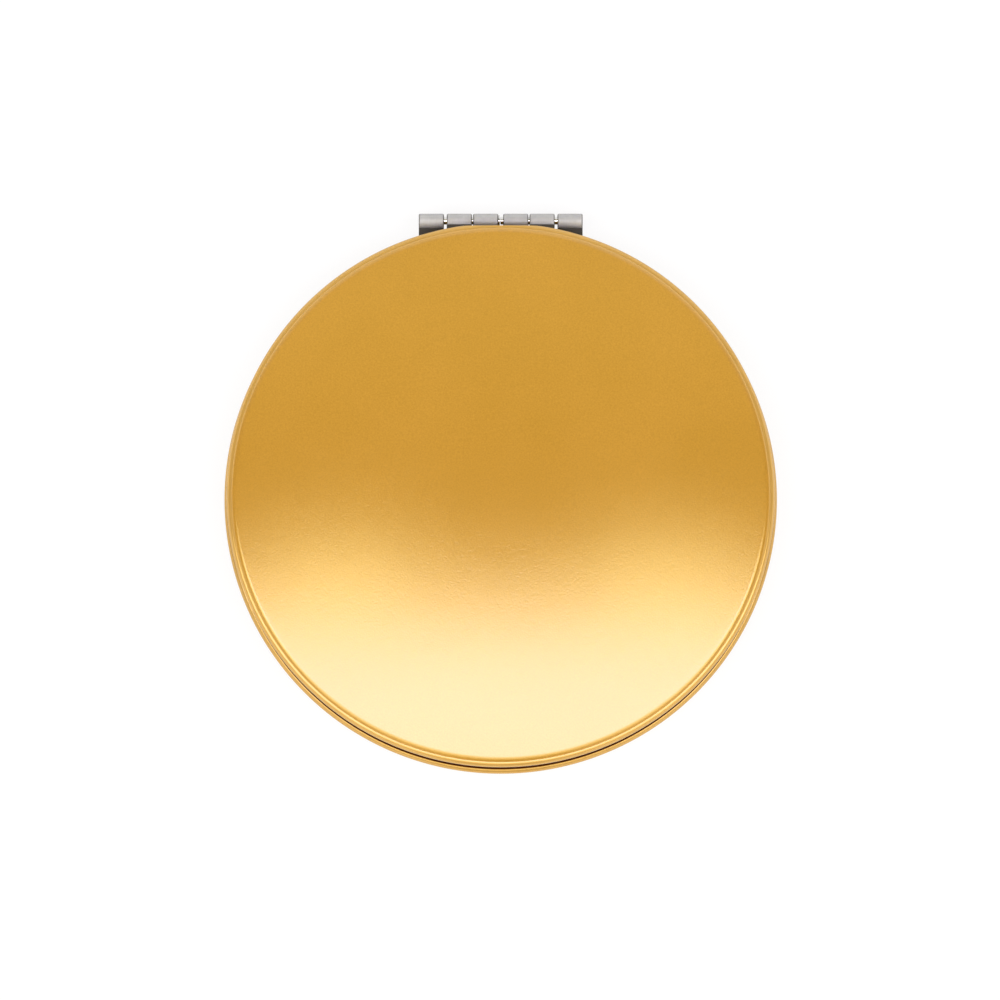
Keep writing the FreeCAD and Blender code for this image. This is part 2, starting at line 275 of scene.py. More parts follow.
    def close(self, geometry: Socket) -> "Shaping":
        """Sets the geometry in place, gives it its material and ends the tree.

        Args:
            geometry: the piece as drawn.

        Returns:
            The finished tree.
        """
        placed = self.moved(geometry, self.size("Place"), self.size("Turn"))
        real = self.add("GeometryNodeRealizeInstances", {0: placed}).outputs[0]
        dressed = self.add("GeometryNodeSetMaterial", {0: real, "Material": self.size("Material")})
        self.feed(self.result.inputs[0], dressed.outputs[0])
        return self

    def make(self, name: str, lines: list[list[Triple]], values: dict[str, Any]) -> bpy.types.Mesh:
        """Runs the tree on drawn lines.

        Args:
            name: name of the mesh.
            lines: points of each line, in order.
            values: the tree's inputs by label.

        Returns:
            A plain mesh with smooth faces and its sharp edges marked.
        """
        points = [point for line in lines for point in line]
        edges = []
        start = 0
        for line in lines:
            edges += [(start + i, start + i + 1) for i in range(len(line) - 1)]
            start += len(line)
        blank = bpy.data.meshes.new(name + "_line")
        blank.from_pydata(points, edges, [])
        holder = bpy.data.objects.new(name + "_line", blank)
        modifier = holder.modifiers.new(self.tree.name, "NODES")
        modifier.node_group = self.tree
        for item in self.tree.interface.items_tree:
            if item.in_out == "INPUT" and item.name in values:
                modifier[item.identifier] = values[item.name]
        bpy.context.scene.collection.objects.link(holder)
        evaluated = holder.evaluated_get(bpy.context.evaluated_depsgraph_get())
        mesh = bpy.data.meshes.new_from_object(evaluated)
        bpy.data.objects.remove(holder)
        bpy.data.meshes.remove(blank)
        mesh.name = name
        mesh.shade_smooth()
        mesh.set_sharp_from_angle(angle=SHARP_ANGLE)
        return mesh


class Outline:
    """Line drawn through a half, as radius and height, for the lathe."""

    def __init__(self, *points: Point) -> None:
        """Starts the line with points."""
        self.points: list[Point] = list(points)

    def to(self, *points: Point) -> "Outline":
        """Runs straight to each point in turn."""
        self.points += points
        return self

    def arc(self, centre: Point, radius: float, start: float, end: float, steps: int) -> "Outline":
        """Runs round an arc.

        Args:
            centre: its centre.
            radius: its radius.
            start: first angle in degrees, from the outward radius towards the crown.
            end: last angle in degrees.
            steps: pieces that it is divided into.

        Returns:
            The outline itself.
        """
        for i in range(steps + 1):
            angle = math.radians(start + (end - start) * i / steps)
            self.points.append((centre[0] + radius * math.cos(angle), centre[1] + radius * math.sin(angle)))
        return self

    def line(self) -> list[Triple]:
        """Points in the XZ plane, without doubles.

        Returns:
            The points in order.
        """
        kept = [self.points[0]]
        for point in self.points[1:]:
            if math.dist(point, kept[-1]) > 2 * WELD:
                kept.append(point)
        return [(max(r, 0.0), 0.0, z) for r, z in kept]


class Effects:
    """Shader node groups that several finishes share."""

    def __init__(self) -> None:
        """Builds each group once."""
        self.tone = self._tone()
        self.grain = self._grain()
        self.marks = self._marks()

    @staticmethod
    def _group(name: str, inputs: dict[str, str], outputs: dict[str, str]) -> tuple[Graph, Any, Any]:
        """Empty shader group with its sockets.

        Args:
            name: name of the group.
            inputs: kind of each input by label.
            outputs: kind of each output by label.

        Returns:
            The group's graph, its input node and its output node.
        """
        tree = bpy.data.node_groups.new(name, "ShaderNodeTree")
        for way, sockets in (("INPUT", inputs), ("OUTPUT", outputs)):
            for label, kind in sockets.items():
                tree.interface.new_socket(label, in_out=way, socket_type="NodeSocket" + kind)
        return Graph(tree), tree.nodes.new("NodeGroupInput"), tree.nodes.new("NodeGroupOutput")

    def _tone(self) -> bpy.types.NodeTree:
        """Colour that drifts between two tones in broad soft patches.

        Returns:
            The group's tree.
        """
        inputs = {"Vector": "Vector", "Colour": "Color", "Tone": "Color", "Patches": "Float"}
        graph, given, result = self._group("drifting_tone", inputs, {"Colour": "Color"})
        noise = graph.add("ShaderNodeTexNoise", {
            "Vector": given.outputs["Vector"], "Scale": given.outputs["Patches"],
            "Detail": 3.0, "Roughness": 0.55,
        })
        share = graph.span(noise.outputs[0], 0.35, 0.65, 0.0, 1.0)
        mixed = graph.blend(share, given.outputs["Colour"], given.outputs["Tone"])
        graph.feed(result.inputs[0], mixed)
        return graph.tree

    def _grain(self) -> bpy.types.NodeTree:
        """Fine grain: a height for bump and a speckle about one for colour.

        Returns:
            The group's tree.
        """
        inputs = {"Vector": "Vector", "Fineness": "Vector", "Speckle": "Float"}
        graph, given, result = self._group("fine_grain", inputs, {"Height": "Float", "Speckle": "Float"})
        scaled = graph.vector("MULTIPLY", given.outputs["Vector"], given.outputs["Fineness"])
        noise = graph.add("ShaderNodeTexNoise", {
            "Vector": scaled, "Scale": 1.0, "Detail": 2.0, "Roughness": 0.6,
        })
        swing = graph.maths("SUBTRACT", noise.outputs[0], 0.5)
        swing = graph.maths("MULTIPLY", swing, given.outputs["Speckle"])
        graph.feed(result.inputs["Height"], noise.outputs[0])
        graph.feed(result.inputs["Speckle"], graph.maths("ADD", swing, 1.0))
        return graph.tree

    def _marks(self) -> bpy.types.NodeTree:
        """Mask of hairline scratches, gathered in patches as handling leaves them.

        Returns:
            The group's tree.
        """
        inputs = {"Vector": "Vector", "Fineness": "Float"}
        graph, given, result = self._group("handling_marks", inputs, {"Mask": "Float"})
        where = given.outputs["Vector"]
        lines = []
        for turn, along in ((0.6, 0.02), (2.2, 0.03)):
            mapped = graph.add("ShaderNodeMapping", {
                "Vector": where, "Rotation": (0.0, 0.0, turn), "Scale": (1.0, along, along),
            })
            noise = graph.add("ShaderNodeTexNoise", {
                "Vector": mapped.outputs[0], "Scale": given.outputs["Fineness"], "Detail": 1.0,
            })
            lines.append(graph.span(noise.outputs[0], 0.66, 0.74, 0.0, 1.0))
        wide = graph.maths("MULTIPLY", given.outputs["Fineness"], 0.04)
        patch = graph.add("ShaderNodeTexNoise", {"Vector": where, "Scale": wide, "Detail": 2.0})
        share = graph.span(patch.outputs[0], 0.45, 0.65, 0.15, 1.0)
        either = graph.maths("MAXIMUM", lines[0], lines[1])
        graph.feed(result.inputs[0], graph.maths("MULTIPLY", either, share))
        return graph.tree


@dataclass(frozen=True)
class Finish:
    """How one surface looks all over, and the size of its detail."""

    name: str
    colour: Triple
    tone: Triple
    metallic: float
    roughness: float
    patch: float = 12 * MM
    grain: Triple = (0.3 * MM, 0.3 * MM, 0.3 * MM)
    relief: float = 0.0
    speckle: float = 0.0
    marks: float = 0.0
    mark_size: float = 0.25 * MM
    ior: float = 1.5
    gloss_tint: Triple = (1.0, 1.0, 1.0)
    cover_or_painted_shade: Triple = (0.0, 0.0, 0.0)

    def material(self, effects: Effects) -> bpy.types.Material:
        """Builds the finish as a material.

        Args:
            effects: the shared node groups.

        Returns:
            The new material.
        """
        made = bpy.data.materials.new(self.name)
        graph = Graph.blank(made)
        where = graph.add("ShaderNodeTexCoord").outputs["Object"]
        shader = graph.add("ShaderNodeBsdfPrincipled", {
            "Metallic": self.metallic, "IOR": self.ior, "Specular Tint": (*self.gloss_tint, 1.0),
        })
        grain = graph.add("ShaderNodeGroup", {
            "Vector": where, "Fineness": tuple(1.0 / size for size in self.grain), "Speckle": self.speckle,
        }, node_tree=effects.grain)
        speckle = grain.outputs["Speckle"]
        tone = graph.add("ShaderNodeGroup", {
            "Vector": where, "Colour": (*self.colour, 1.0), "Tone": (*self.tone, 1.0),
            "Patches": 1.0 / self.patch,
        }, node_tree=effects.tone)
        colour = tone.outputs["Colour"]
        # The cover colour is the real green ground edge of the glass, or painted shade in the groove and on
        # the hinge steel.
        share = self.covered(graph, where)
        if share is not None:
            colour = graph.blend(share, colour, (*self.cover_or_painted_shade, 1.0))
        graph.feed(shader.inputs["Base Color"], graph.vector("MULTIPLY", colour, speckle))
        marks = graph.add("ShaderNodeGroup", {
            "Vector": where, "Fineness": 1.0 / self.mark_size,
        }, node_tree=effects.marks)
        worn = graph.maths("MULTIPLY", marks.outputs["Mask"], self.marks)
        spread = graph.maths("MULTIPLY", speckle, self.roughness)
        graph.feed(shader.inputs["Roughness"], graph.maths("ADD", spread, worn))
        if self.relief > 0:
            bump = graph.add("ShaderNodeBump", {
                "Strength": 1.0, "Distance": self.relief, "Height": grain.outputs["Height"],
            })
            graph.feed(shader.inputs["Normal"], bump.outputs[0])
        output = graph.add("ShaderNodeOutputMaterial")
        graph.feed(output.inputs["Surface"], shader.outputs[0])
        return made

    def covered(self, graph: Graph, where: Socket) -> Socket | None:
        """Share of the cover's colour over the first, in a finish that has one: a real green glass edge, or
        painted shade.
        """
        return None


@dataclass(frozen=True)
class SilveredGlass(Finish):
    """Mirror glass: silver seen through it, and a green ground edge."""

    cover_or_painted_shade: Triple = (0.30, 0.48, 0.42)
    edge: Point = (29.53 * MM, 29.55 * MM)

    def covered(self, graph: Graph, where: Socket) -> Socket:
        """Green past the edge's radius."""
        radius = graph.vector("LENGTH", graph.vector("MULTIPLY", where, (1.0, 1.0, 0.0)))
        return graph.span(radius, *self.edge, 0.0, 1.0)


@dataclass(frozen=True)
class GroovePaintedShadeGold(Finish):
    """Gold of the necks between the beads, with painted shade that darkens it towards the seam, as shadow in
    a deep groove would; it has no gloss, so the painted shade stays dark.
    """

    # Colour of the painted shade at the seam.
    cover_or_painted_shade: Triple = (0.045, 0.010, 0.001)
    # Distances from the seam where the painted shade is full and where it has faded out.
    groove: Point = (0.95 * MM, 1.55 * MM)

    def covered(self, graph: Graph, where: Socket) -> Socket:
        """Painted shade: dark close over and under the seam."""
        off_seam = graph.maths("ABSOLUTE", graph.maths("SUBTRACT", graph.axis(where, 2), SEAM_Z))
        return graph.span(off_seam, *self.groove, 1.0, 0.0)


@dataclass(frozen=True)
class PaintedShadeSteel(Finish):
    """Hinge steel: grey on the barrels, with painted shade on the leaves in the crevice under them and on the
    round ends of the knuckles.

    Each pair of lengths is where the painted shade begins and where it is full: away from the pin's axis, and
    along a knuckle from its middle.
    """

    # Colour of the painted shade on the leaves and on the knuckle ends.
    cover_or_painted_shade: Triple = (0.03, 0.024, 0.018)
    crevice_shade: Point = (0.89 * MM, 1.0 * MM)
    knuckle_middles: Triple = (1.9075 * MM, 5.2425 * MM, 8.7875 * MM)
    knuckle_end_shade: Point = (1.4325 * MM, 1.5525 * MM)
    end_shade_share: float = 0.85

    def covered(self, graph: Graph, where: Socket) -> Socket:
        """Painted shade away from the pin's axis and on the round ends of each knuckle.

        Args:
            graph: the material's nodes.
            where: coordinates on the piece.

        Returns:
            Share of the painted shade colour.
        """
        from_axis = graph.vector("SUBTRACT", where, (0.0, HINGE_Y, SEAM_Z))
        reach = graph.vector("LENGTH", graph.vector("MULTIPLY", from_axis, (0.0, 1.0, 1.0)))
        # Painted shade on the leaves, away from the pin's axis.
        crevice_shade = graph.span(reach, *self.crevice_shade, 0.0, 1.0)
        along = graph.maths("ABSOLUTE", graph.axis(where, 0))
        off_middle: Any = 1.0
        for middle in self.knuckle_middles:
            off = graph.maths("ABSOLUTE", graph.maths("SUBTRACT", along, middle))
            off_middle = graph.maths("MINIMUM", off_middle, off)
        # Painted shade on the round ends of each knuckle.
        ends = graph.span(off_middle, *self.knuckle_end_shade, 0.0, self.end_shade_share)
        return graph.maths("MAXIMUM", crevice_shade, ends)


class Wardrobe:
    """Every finish of the case, made once."""

    FINISHES = (
        Finish(
            "satin_gold", (0.46, 0.231, 0.0265), (0.44, 0.22, 0.023), 0.0, 0.12,
            patch=14 * MM, grain=(0.21 * MM,) * 3, relief=0.0095 * MM, speckle=0.42, ior=2.2,
            gloss_tint=(1.0, 0.9, 0.55)),
        Finish(
            "polished_gold", (0.54, 0.31, 0.07), (0.515, 0.29, 0.062), 0.2, 0.12,
            patch=6 * MM, grain=(0.4 * MM,) * 3, speckle=0.05, marks=0.05, ior=1.9,
            gloss_tint=(1.0, 0.9, 0.6)),
        # Neck gold close to the seam, darkened with painted shade and without gloss.
        GroovePaintedShadeGold(
            "groove_gold", (0.54, 0.31, 0.07), (0.515, 0.29, 0.062), 0.0, 0.9,
            patch=6 * MM, grain=(0.4 * MM,) * 3, speckle=0.05, ior=1.0),
        Finish(
            "plated_gold", (0.66, 0.37, 0.09), (0.62, 0.345, 0.08), 0.3, 0.14,
            patch=8 * MM, grain=(0.5 * MM,) * 3, relief=0.0006 * MM, speckle=0.05, marks=0.1, ior=1.9,
            gloss_tint=(1.0, 0.9, 0.6)),
        SilveredGlass(
            "mirror_silver", (0.90, 0.92, 0.92), (0.88, 0.905, 0.905), 1.0, 0.012,
            patch=20 * MM, speckle=0.02, marks=0.03, mark_size=0.4 * MM),
        # Hinge steel with painted shade in the crevice under the barrels and on the knuckle ends.
        PaintedShadeSteel(
            "hinge_steel", (0.42, 0.42, 0.42), (0.37, 0.37, 0.37), 0.15, 0.5,
            patch=1.5 * MM, grain=(0.05 * MM, 0.9 * MM, 0.9 * MM), relief=0.0012 * MM, speckle=0.25,
            marks=0.15, mark_size=0.12 * MM, gloss_tint=(1.0, 0.97, 0.82)),
        Finish(
            "pin_steel", (0.74, 0.73, 0.71), (0.68, 0.67, 0.65), 1.0, 0.14,
            patch=1.0 * MM, grain=(0.04 * MM, 0.4 * MM, 0.4 * MM), relief=0.0004 * MM, speckle=0.1,
            marks=0.1),
        Finish(
            "rivet_steel", (0.60, 0.59, 0.57), (0.54, 0.53, 0.51), 1.0, 0.28,
            patch=1.0 * MM, grain=(0.06 * MM,) * 3, relief=0.0008 * MM, speckle=0.2, marks=0.15,
            mark_size=0.1 * MM),
        Finish(
            "nickel", (0.72, 0.71, 0.69), (0.66, 0.65, 0.63), 1.0, 0.16,
            patch=1.5 * MM, grain=(0.1 * MM,) * 3, relief=0.0006 * MM, speckle=0.1, marks=0.15,
            mark_size=0.12 * MM),
        Finish(
            "foam", (0.80, 0.80, 0.77), (0.74, 0.74, 0.71), 0.0, 0.85,
            patch=5 * MM, grain=(0.12 * MM,) * 3, relief=0.03 * MM, speckle=0.3),
        Finish(
            "backing", (0.10, 0.10, 0.11), (0.14, 0.14, 0.15), 0.0, 0.7,
            patch=8 * MM, grain=(0.15 * MM,) * 3, relief=0.012 * MM, speckle=0.4),
    )

    def __init__(self) -> None:
        """Makes the shared groups and a material of each finish."""
        effects = Effects()
        self.materials = {finish.name: finish.material(effects) for finish in self.FINISHES}

    def __getitem__(self, name: str) -> bpy.types.Material:
        """Material of a finish."""
        return self.materials[name]


def block_sizes(label: str, low: Triple, high: Triple) -> dict[str, Any]:
    """Tree inputs of the box with a label, between its lowest and its highest corner."""
    size = tuple(b - a for a, b in zip(low, high))
    return {label + " Size": size, label + " Centre": tuple((a + b) / 2 for a, b in zip(low, high))}


def drum_sizes(label: str, radius: float, low: float, high: float, y: float = 0.0) -> dict[str, Any]:
    """Tree inputs of the upright cylinder with a label, between two heights on the middle line."""
    centre = (0.0, y, (low + high) / 2)
    return {label + " Radius": radius, label + " Depth": high - low, label + " Centre": centre}


def show(name: str, mesh: bpy.types.Mesh, body: str, node: str) -> None:
    """Puts a finished piece in the scene in place of its CAD node.

    Args:
        name: name of the piece.
        mesh: its mesh, already in place.
        body: CAD body that it rides on.
        node: CAD node that it stands for.
    """
    piece = bpy.data.objects.new(name, mesh)
    bpy.context.scene.collection.objects.link(piece)
    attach(piece, body)
    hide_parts(node)
    log.info("%s: %d faces, rides on %s", name, len(mesh.polygons), body)


@dataclass
class Rim:
    """Sizes that both halves and the hinges share."""

    seam: float
    hinge_y: float
    sheet: float = 0.4 * MM
    bead_radius: float = 0.6 * MM
    bead_crease: float = 4.0
    neck_inset: float = 0.45 * MM
    roll_radius: float = 1.24 * MM
    roll_angle: float = 40.0
    corner: float = 0.5 * MM
    turned_edge: float = 0.06 * MM
    lip: float = 0.05 * MM
    frame_face: float = 0.15 * MM
    leaf_z: float = 0.42 * MM
    leaf_sheet: float = 0.36 * MM
    leaf_edge: float = 30.54 * MM
    notch_reach: float = 10.53 * MM
    notch_headroom: float = 0.1 * MM
    bead_flat: float = 0.35 * MM
    # Half-height of the band round the seam that gets the painted shade of the groove.
    shaded_groove_height: float = 1.3 * MM
    rivet_row: float = 31.7558 * MM
    rivet_first: float = 2.5475 * MM
    rivet_spacing: float = 5.6 * MM

    @classmethod
    def from_frame(cls) -> "Rim":
        """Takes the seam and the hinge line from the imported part."""
        joint = frame["joints"][0]
        return cls(seam=joint["pos_m"][2], hinge_y=joint["pos_m"][1])

    @property
    def leaf_top(self) -> float:
        """Upper face of a hinge leaf."""
        return self.leaf_z + self.leaf_sheet


@dataclass
class CaseHalf:
    """Shell, moulded ring, glass, magnet and rivets of the lid or of the base."""

    side: Side
    rim: Rim
    wardrobe: Wardrobe
    trees: "Trees"
    crown_radius: float
    flat_radius: float
    glass_sag: float
    wall_top: float
    segments: int = 288
    crown_step: float = 0.7 * MM
    roll_steps: int = 12
    bead_steps: int = 32
    glass_steps: int = 40
    glass_thickness: float = 1.3 * MM
    glass_radius: float = 29.66 * MM
    glass_chamfer: float = 0.12 * MM
    lip_bore: float = 28.96 * MM
    wall_bore: float = 29.74 * MM
    wall_radius: float = 30.24 * MM
    skirt_clearance: float = 0.06 * MM
    skirt_wall: float = 0.5 * MM
    magnet_row: float = 31.77 * MM
    magnet_radius: float = 1.5 * MM
    magnet_thickness: float = 1.2 * MM
    magnet_clearance: float = 0.03 * MM
    cup_wall: float = 0.4 * MM
    cup_floor: float = 0.3 * MM
    bay_clearance: float = 0.15 * MM
    edge_round: float = 0.1 * MM
    rivet_shank: float = 0.5 * MM
    rivet_head: float = 0.9 * MM
    rivet_head_thickness: float = 0.15 * MM
    rivet_tail: float = 0.8 * MM
    rivet_tail_height: float = 0.35 * MM
    rivet_tail_steps: int = 6
    rivet_edge: float = 0.05 * MM
    rivet_clearance: float = 0.03 * MM

    def node(self, part: str) -> str:
        """Name of this half's CAD node for a part."""
        return f"{self.side.value}_{part}"

    def placed(self, material: str) -> dict[str, Any]:
        """Tree inputs that set a piece into this half and dress it."""
        turn = (0.0, math.pi if self.side is Side.BASE else 0.0, 0.0)
        return {"Turn": turn, "Place": (0.0, 0.0, self.rim.seam), "Material": self.wardrobe[material]}

    def put(self, tree: Shaping, label: str, part: str, outline: Outline, values: dict) -> None:
        """Makes one of this half's pieces and shows it.

        Args:
            tree: tree that makes it.
            label: first word of the piece's name.
            part: CAD part that it stands for.
            outline: its section.
            values: the tree's inputs by label.
        """
        name = f"{label}_{self.side.value}"
        mesh = tree.make(name, [outline.line()], values)
        show(name, mesh, self.side.value, self.node(part))

    @property
    def rim_radius(self) -> float:
        """Radius over the bead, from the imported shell."""
        low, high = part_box(self.node("shell"))
        return (high.x - low.x) / 2

    @property
    def neck_radius(self) -> float:
        """Outside of the neck."""
        return self.rim_radius - self.rim.neck_inset

    @property
    def neck_bore(self) -> float:
        """Inside of the neck."""
        return self.neck_radius - self.rim.sheet

    @property
    def apex(self) -> float:
        """Height of the crown over the seam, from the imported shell."""
        low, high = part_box(self.node("shell"))
        return high.z - self.rim.seam if self.side is Side.LID else self.rim.seam - low.z

    def crown_height(self, radius: float, depth: float = 0.0) -> float:
        """Height of the crown at a radius, or of the surface a depth inside it."""
        reach = max(radius - self.flat_radius, 0.0)
        return self.apex - self.crown_radius + math.sqrt((self.crown_radius - depth) ** 2 - reach ** 2)

    def shell_outline(self) -> tuple[Outline, float]:
        """Section of the pressed shell.

        Returns:
            The section from the apex over the bead and back inside, and the radius of the crease.
        """
        rim = self.rim
        bead_centre = self.rim_radius - rim.bead_radius
        crease = bead_centre - rim.bead_radius * math.sin(math.radians(rim.bead_crease))
        share = rim.roll_radius / self.crown_radius
        roll_reach = rim.roll_radius * math.sin(math.radians(rim.roll_angle))
        shoulder = (crease - roll_reach - share * self.flat_radius) / (1 - share)
        slope = math.asin((shoulder - self.flat_radius) / self.crown_radius)
        roll_centre = (
            shoulder - rim.roll_radius * math.sin(slope),
            self.crown_height(shoulder) - rim.roll_radius * math.cos(slope),
        )
        crease_z = roll_centre[1] + rim.roll_radius * math.cos(math.radians(rim.roll_angle))
        bead_z = crease_z - rim.bead_radius * math.cos(math.radians(rim.bead_crease))
        foot = -math.degrees(math.acos((self.neck_radius - bead_centre) / rim.bead_radius))

        steps = round(shoulder / self.crown_step)
        radii = [shoulder * i / steps for i in range(steps + 1)]
        outline = Outline(*[(r, self.crown_height(r)) for r in radii])
        roll_start = 90 - math.degrees(slope)
        outline.arc(roll_centre, rim.roll_radius, roll_start, 90 - rim.roll_angle, self.roll_steps)
        outline.arc((bead_centre, bead_z), rim.bead_radius, 90 + rim.bead_crease, foot, self.bead_steps)
        edge = rim.turned_edge
        outline.arc((self.neck_radius - edge, rim.lip + edge), edge, 0, -90, TINY_STEPS)
        outline.arc((self.neck_bore + edge, rim.lip + edge), edge, -90, -180, TINY_STEPS)
        corner_radius = self.neck_bore - rim.corner
        corner_z = self.crown_height(corner_radius, rim.sheet)
        outline.to((self.neck_bore, corner_z - rim.corner))
        inner = [corner_radius * i / steps for i in range(steps, -1, -1)]
        outline.to(*[(r, self.crown_height(r, rim.sheet)) for r in inner])
        return outline, crease

    def build_shell(self) -> None:
        """Turns the shell, cuts the notch for the leaves and flattens the bead in front of the barrels."""
        rim = self.rim
        outline, crease = self.shell_outline()
        reach = rim.notch_reach
        behind = self.rim_radius + PAST
        notch_low = (-reach, rim.leaf_edge, rim.lip - PAST)
        notch_high = (reach, behind, rim.leaf_top + rim.notch_headroom)
        flat_low = (-reach, self.rim_radius - rim.bead_flat, rim.lip)
        self.put(self.trees.shell, "shell", "shell", outline, {
            "Segments": self.segments,
            **block_sizes("Notch", notch_low, notch_high),
            **block_sizes("Flat", flat_low, (reach, behind, self.apex)),
            "Crease Radius": crease,
            "Dome Material": self.wardrobe["satin_gold"],
            # The neck close to the seam gets the groove material, whose dark colour is painted shade.
            "Groove Height": rim.shaded_groove_height,
            "Groove Material": self.wardrobe["groove_gold"],
            **self.placed("polished_gold"),
        })

    def build_ring(self) -> None:
        """Turns the moulded ring and cuts its leaf bay, magnet pocket and rivet seats."""
        rim = self.rim
        edge = self.edge_round
        skirt_radius = self.neck_bore - self.skirt_clearance
        skirt_bore = skirt_radius - self.skirt_wall
        ceiling = self.crown_height(self.neck_bore - rim.corner, rim.sheet)
        skirt_top = ceiling - rim.corner - self.skirt_clearance
        outline = Outline()
        outline.arc((self.lip_bore + edge, rim.frame_face + edge), edge, 270, 180, EDGE_STEPS)
        outline.to(
            (self.lip_bore, rim.leaf_z), (self.wall_bore, rim.leaf_z), (self.wall_bore, self.wall_top),
            (self.wall_radius, self.wall_top), (self.wall_radius, rim.leaf_z), (skirt_bore, rim.leaf_z),
            (skirt_bore, skirt_top), (skirt_radius, skirt_top),
        )
        outline.arc((skirt_radius - edge, rim.frame_face + edge), edge, 0, -90, EDGE_STEPS)
        outline.to(outline.points[0])
        pocket_top = rim.frame_face + self.magnet_thickness + self.magnet_clearance
        pocket_radius = self.magnet_radius + self.magnet_clearance
        cup_radius = pocket_radius + self.cup_wall
        below = rim.frame_face - PAST
        bay_low = (-rim.notch_reach, rim.leaf_edge - self.bay_clearance, rim.leaf_z)
        bay_high = (rim.notch_reach, self.rim_radius, skirt_top + PAST)
        seat_radius = self.rivet_head + self.rivet_clearance
        hole_radius = self.rivet_shank + self.rivet_clearance
        self.put(self.trees.ring, "ring", "frame", outline, {
            "Segments": self.segments,
            **drum_sizes("Cup", cup_radius, rim.leaf_z - edge, pocket_top + self.cup_floor, -self.magnet_row),
            **drum_sizes("Pocket", pocket_radius, below, pocket_top, -self.magnet_row),
            **block_sizes("Bay", bay_low, bay_high),
            **drum_sizes("Seat", seat_radius, below, rim.frame_face + self.rivet_head_thickness),
            **drum_sizes("Hole", hole_radius, below, rim.leaf_top),
            **self.rivet_places(),
            **self.placed("plated_gold"),
        })

    def rivet_places(self) -> dict[str, Any]:
        """Tree inputs for the row of rivets on both sides of the middle.

        Returns:
            The inputs by label.
        """
        values = {}
        for hand in Hand:
            label = hand.name.title()
            values[label + " Rivet"] = (hand.value * self.rim.rivet_first, self.rim.rivet_row, 0.0)
            values[label + " Step"] = (hand.value * self.rim.rivet_spacing, 0.0, 0.0)
        return values

    def build_glass(self) -> None:
        """Turns the mirror with ground edges, bowed where this half magnifies."""
        front = self.rim.leaf_z
        back = front + self.glass_thickness
        edge = self.glass_chamfer
        reach = self.glass_radius - edge
        radii = [reach * i / self.glass_steps for i in range(self.glass_steps + 1)]
        outline = Outline(*[(r, back + self.bow(r, reach)) for r in radii])
        outline.to((self.glass_radius, back - edge), (self.glass_radius, front + edge))
        outline.to(*[(r, front + self.bow(r, reach)) for r in reversed(radii)])
        values = {"Segments": self.segments, **self.placed("mirror_silver")}
        self.put(self.trees.turned, "glass", "mirror", outline, values)

    def bow(self, radius: float, reach: float) -> float:
        """Height of the glass's bow over its edge.

        Args:
            radius: where on the glass.
            reach: radius of the edge.

        Returns:
            The height, which is zero for flat glass.
        """
        if self.glass_sag == 0:
            return 0.0
        sphere = (reach ** 2 + self.glass_sag ** 2) / (2 * self.glass_sag)
        return math.sqrt(sphere ** 2 - radius ** 2) - (sphere - self.glass_sag)

    def build_magnet(self) -> None:
        """Turns the disc magnet with rounded edges."""
        front = self.rim.frame_face
        back = front + self.magnet_thickness
        edge = self.edge_round
        inside = self.magnet_radius - edge
        outline = Outline((0.0, back)).arc((inside, back - edge), edge, 90, 0, EDGE_STEPS)
        outline.arc((inside, front + edge), edge, 0, -90, EDGE_STEPS).to((0.0, front))
        values = {"Segments": DISC_FACES, **self.placed("nickel")}
        values["Place"] = (0.0, -self.magnet_row, self.rim.seam)
        self.put(self.trees.turned, "magnet", "magnet", outline, values)

    def build_rivets(self) -> None:
        """Turns a rivet and sets it on each of its four places."""
        face = self.rim.frame_face
        head = face + self.rivet_head_thickness
        leaf = self.rim.leaf_top
        top = leaf + self.rivet_tail_height
        edge = self.rivet_edge
        tail = self.rivet_tail_height / 2
        outline = Outline((0.0, top))
        outline.arc((self.rivet_tail - tail, top - tail), tail, 90, 0, self.rivet_tail_steps)
        outline.to((self.rivet_tail, leaf), (self.rivet_shank, leaf), (self.rivet_shank, head))
        outline.to((self.rivet_head, head))
        outline.arc((self.rivet_head - edge, face + edge), edge, 0, -90, TINY_STEPS).to((0.0, face))
        values = {"Segments": ROD_FACES, **self.rivet_places(), **self.placed("rivet_steel")}
        self.put(self.trees.rivets, "rivets", "hinge_rivets", outline, values)

    def dress_hidden(self) -> None:
        """Gives the tape and the backing plate, which stay as packed, their finishes."""
        for part, finish in (("mirror_tape", "foam"), ("backing_plate", "backing")):
            node = frame["nodes"][self.node(part)]
            node.data.materials.clear()
            node.data.materials.append(self.wardrobe[finish])
            log.info("%s: packed shape kept, dressed in %s", node.name, finish)


